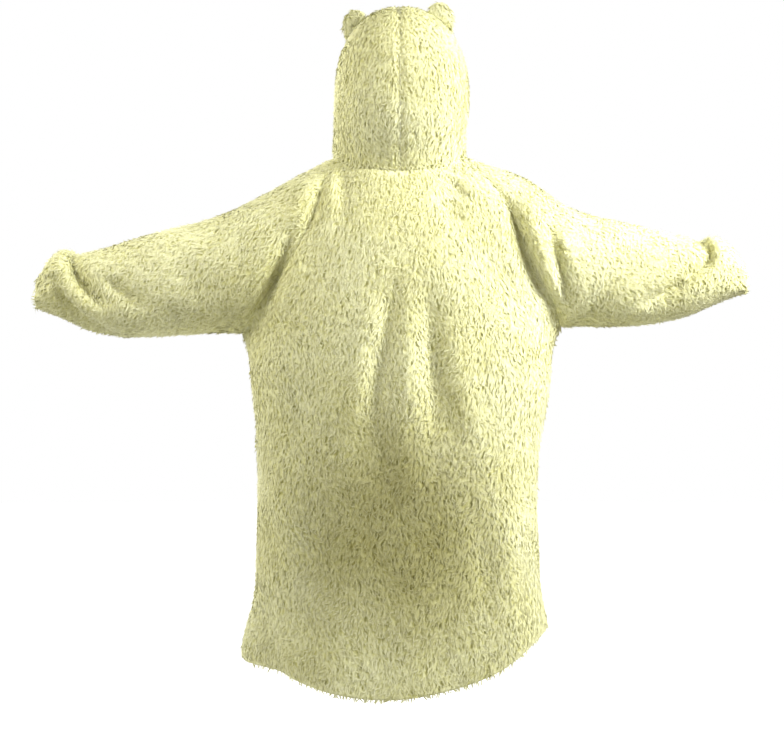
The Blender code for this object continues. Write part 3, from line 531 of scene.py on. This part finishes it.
def plush_surface(name, colour_stops):
    """Pale plush whose colour follows its depth as painted shade, with patches, fine streaks and a painted shade low on
    the back.
    """
    material, tree, shader = new_material(name)
    # painted shade: the colour darkens and greens with depth into the partings and roots
    depth = ramp(tree, attribute(tree, "depth"), colour_stops)
    patches = ramp(tree, noise(tree, 7.0), ((0.35, (0.93, 0.92, 0.82)), (0.65, (1.0, 1.0, 1.0))))
    fibres = ramp(tree, streaks(tree, 420.0, 0.35), ((0.3, (0.88, 0.88, 0.81)), (0.7, (1.0, 1.0, 1.0))))
    # painted shade: the plush darkens towards the middle of the lower back
    low_back_shade = ramp(tree, painted_shade_low_back(tree), ((0.0, (1.0, 1.0, 1.0)), (0.7, (0.55, 0.53, 0.41))))
    colour = multiplied(tree, multiplied(tree, multiplied(tree, depth, patches), fibres), low_back_shade)
    tree.links.new(colour, shader.inputs["Base Color"])
    shader.inputs["Roughness"].default_value = 0.85
    shader.inputs["Specular IOR Level"].default_value = 0.12
    shader.inputs["Sheen Weight"].default_value = 0.25
    shader.inputs["Sheen Roughness"].default_value = 0.5
    shader.inputs["Sheen Tint"].default_value = (0.98, 0.98, 0.86, 1)
    bump(tree, shader, streaks(tree, 700.0, 0.3), 0.6, 0.0008)
    return material, tree, shader, colour


def tuft_material():
    # painted shade: darkest in the partings between tufts, palest on their tops
    material, _, _, _ = plush_surface("plush_tufts", (
        (0.0, (0.60, 0.58, 0.24)),
        (0.4, (0.76, 0.745, 0.38)),
        (1.0, (0.87, 0.86, 0.56)),
    ))
    return material


def hair_material():
    """The tufts' plush, each hair in a tone of its own."""
    # painted shade: darker at the hair roots, paler at the tips
    material, tree, shader, colour = plush_surface("plush_hairs", (
        (0.45, (0.74, 0.725, 0.37)),
        (1.0, (0.90, 0.89, 0.66)),
    ))
    tone = ramp(tree, attribute(tree, "shade"), ((0.0, (0.80, 0.79, 0.66)), (0.7, (1.0, 1.0, 1.0))))
    tree.links.new(multiplied(tree, colour, tone), shader.inputs["Base Color"])
    return material


def inside_material():
    material, tree, shader = new_material("brushed_inside")
    colour = ramp(tree, noise(tree, 320.0), ((0.3, (0.60, 0.61, 0.36)), (0.7, (0.80, 0.81, 0.56))))
    tree.links.new(colour, shader.inputs["Base Color"])
    shader.inputs["Roughness"].default_value = 0.92
    shader.inputs["Specular IOR Level"].default_value = 0.1
    shader.inputs["Sheen Weight"].default_value = 0.25
    bump(tree, shader, noise(tree, 520.0), 0.6, 0.0012)
    return material


def dress(materials):
    """Every cloth piece with its pile, in place of its solid."""
    hair, tuft, inside = materials
    meshes = {piece.name: smoothed(piece) for piece in PIECES}
    seams, depths = seam_points(meshes)
    for order, piece in enumerate(PIECES):
        mesh = meshes[piece.name]
        press(mesh, seams, depths)
        corners, normals = outer_faces(mesh)
        chance = np.random.default_rng(SEED + order)
        roots, face = scattered(corners, piece.hairs, chance)
        up = unit(normals[face])
        way, turn = lie_of(piece.name, roots, up)
        roots += up * (tuft_heights(piece.name, roots) * TUFT_RISE)[:, None] * 0.8
        hairs = shown(piece.name + "_pile", grow(piece.name + "_pile", roots, up, way, turn, chance), hair)
        raise_tufts(piece.name, mesh)
        layer = read(mesh.attributes["layer"].data, "value")
        for part in mesh.polygons:
            part.material_index = int(layer[list(part.vertices)].mean() < 0.49)
        mesh.shade_smooth()
        cloth = shown(piece.name + "_cloth", mesh, tuft, inside)
        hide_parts(piece.name)


def dress_ear(name, order, hair, tuft):
    """A stuffed ear, cut finer and shaded smooth, with tufts and hairs."""
    mesh = bmesh.new()
    mesh.from_mesh(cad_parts[name].data)
    bmesh.ops.remove_doubles(mesh, verts=mesh.verts, dist=SAME_POINT)
    bmesh.ops.subdivide_edges(mesh, edges=mesh.edges, cuts=EAR_CUTS, use_grid_fill=True, smooth=0.0)
    core = bpy.data.meshes.new(name + "_core")
    mesh.to_mesh(core)
    mesh.free()
    core.shade_smooth()
    places, normals = read(core.vertices, "co", 3), read(core.vertex_normals, "vector", 3)
    heights = tuft_heights(name, places)
    core.vertices.foreach_set("co", (places - normals * (PILE_DEPTH - heights * TUFT_RISE)[:, None]).ravel())
    # the ear's tuft heights as depth, for the painted shade in its partings
    core.attributes.new("depth", "FLOAT", "POINT").data.foreach_set("value", heights)
    core.update()
    stuffed = shown(name + "_core", core, tuft)
    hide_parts(name)
    core.calc_loop_triangles()
    triangles = np.array([list(triangle.vertices) for triangle in core.loop_triangles])
    corners = read(core.vertices, "co", 3)[triangles[:, [0, 1, 2, 2]]]
    up = unit(normals[triangles].mean(1))
    chance = np.random.default_rng(SEED + order)
    roots, face = scattered(corners, EAR_HAIRS, chance)
    way, turn = lie_of(name, roots, up[face])
    hairs = shown(name + "_pile", grow(name + "_pile", roots, up[face], way, turn, chance), hair)
    hairs.parent = stuffed


def add_light(spec):
    lamp = bpy.data.lights.new(spec.name, "AREA")
    lamp.size = spec.size
    lamp.spread = spec.spread
    lamp.energy = spec.power
    lamp.color = spec.colour
    made = bpy.data.objects.new(spec.name, lamp)
    made.location = spec.place
    made.rotation_euler = (Vector(spec.aim) - made.location).to_track_quat("-Z", "Y").to_euler()
    bpy.context.scene.collection.objects.link(made)


def glow_outwards(tree, shader):
    """The floor shines ever more away from the middle, so that it ends in the white surround without an edge."""
    place = tree.nodes.new("ShaderNodeTexCoord").outputs["Object"]
    away = tree.nodes.new("ShaderNodeVectorMath")
    away.operation = "LENGTH"
    tree.links.new(place, away.inputs[0])
    rise = tree.nodes.new("ShaderNodeMapRange")
    rise.interpolation_type = "SMOOTHSTEP"
    rise.inputs["From Min"].default_value = GLOW_START
    rise.inputs["From Max"].default_value = GLOW_FULL
    rise.inputs["To Max"].default_value = 1.0
    tree.links.new(away.outputs["Value"], rise.inputs["Value"])
    seen = tree.nodes.new("ShaderNodeMath")
    seen.operation = "MULTIPLY"
    tree.links.new(rise.outputs["Result"], seen.inputs[0])
    tree.links.new(tree.nodes.new("ShaderNodeLightPath").outputs["Is Camera Ray"], seen.inputs[1])
    tree.links.new(seen.outputs["Value"], shader.inputs["Emission Strength"])


def add_surround():
    """A white surround that gives the cloth less light than the eye sees."""
    world = bpy.data.worlds.new("surround")
    world.use_nodes = True
    tree = world.node_tree
    seen = tree.nodes["Background"]
    seen.inputs["Color"].default_value = (1, 1, 1, 1)
    seen.inputs["Strength"].default_value = SURROUND_SEEN
    soft = tree.nodes.new("ShaderNodeBackground")
    soft.inputs["Color"].default_value = (1.0, 0.99, 0.93, 1)
    soft.inputs["Strength"].default_value = SURROUND_LIGHT
    mix = tree.nodes.new("ShaderNodeMixShader")
    path = tree.nodes.new("ShaderNodeLightPath")
    tree.links.new(path.outputs["Is Camera Ray"], mix.inputs["Fac"])
    tree.links.new(soft.outputs["Background"], mix.inputs[1])
    tree.links.new(seen.outputs["Background"], mix.inputs[2])
    tree.links.new(mix.outputs["Shader"], tree.nodes["World Output"].inputs["Surface"])
    bpy.context.scene.world = world


def add_floor():
    turn = np.linspace(0, 2 * math.pi, FLOOR_SIDES, endpoint=False)
    points = np.stack([FLOOR_REACH * np.cos(turn), FLOOR_REACH * np.sin(turn), 0 * turn], axis=1)
    floor = bpy.data.objects.new("floor", mesh_of("floor", points, np.arange(FLOOR_SIDES)[None]))
    floor.location.z = FLOOR_Z
    bpy.context.scene.collection.objects.link(floor)
    material, tree, shader = new_material("pale_floor")
    shader.inputs["Base Color"].default_value = (0.93, 0.93, 0.92, 1)
    shader.inputs["Roughness"].default_value = 0.8
    shader.inputs["Emission Color"].default_value = (1, 1, 1, 1)
    glow_outwards(tree, shader)
    floor.data.materials.append(material)


def add_lights():
    """Soft light from the picture's upper right, a weaker one from its left and two on the front."""
    for lamp in LAMPS:
        add_light(lamp)


def add_camera():
    camera = bpy.data.cameras.new("camera")
    camera.sensor_width = LENS_SENSOR * 1000
    camera.lens = LENS_SENSOR * 1000 * CAMERA_PLACE[1] / VIEW_WIDTH
    made = bpy.data.objects.new("camera", camera)
    made.location = CAMERA_PLACE
    made.rotation_euler = (math.pi / 2, 0, math.pi)
    bpy.context.scene.collection.objects.link(made)
    bpy.context.scene.camera = made


seed_set(SEED)
bpy.context.scene.view_settings.view_transform = "Standard"
add_camera()
add_floor()
add_surround()
add_lights()
surfaces = (hair_material(), tuft_material(), inside_material())
dress(surfaces)
for number, ear in enumerate(EARS):
    dress_ear(ear, len(PIECES) + number, surfaces[0], surfaces[1])
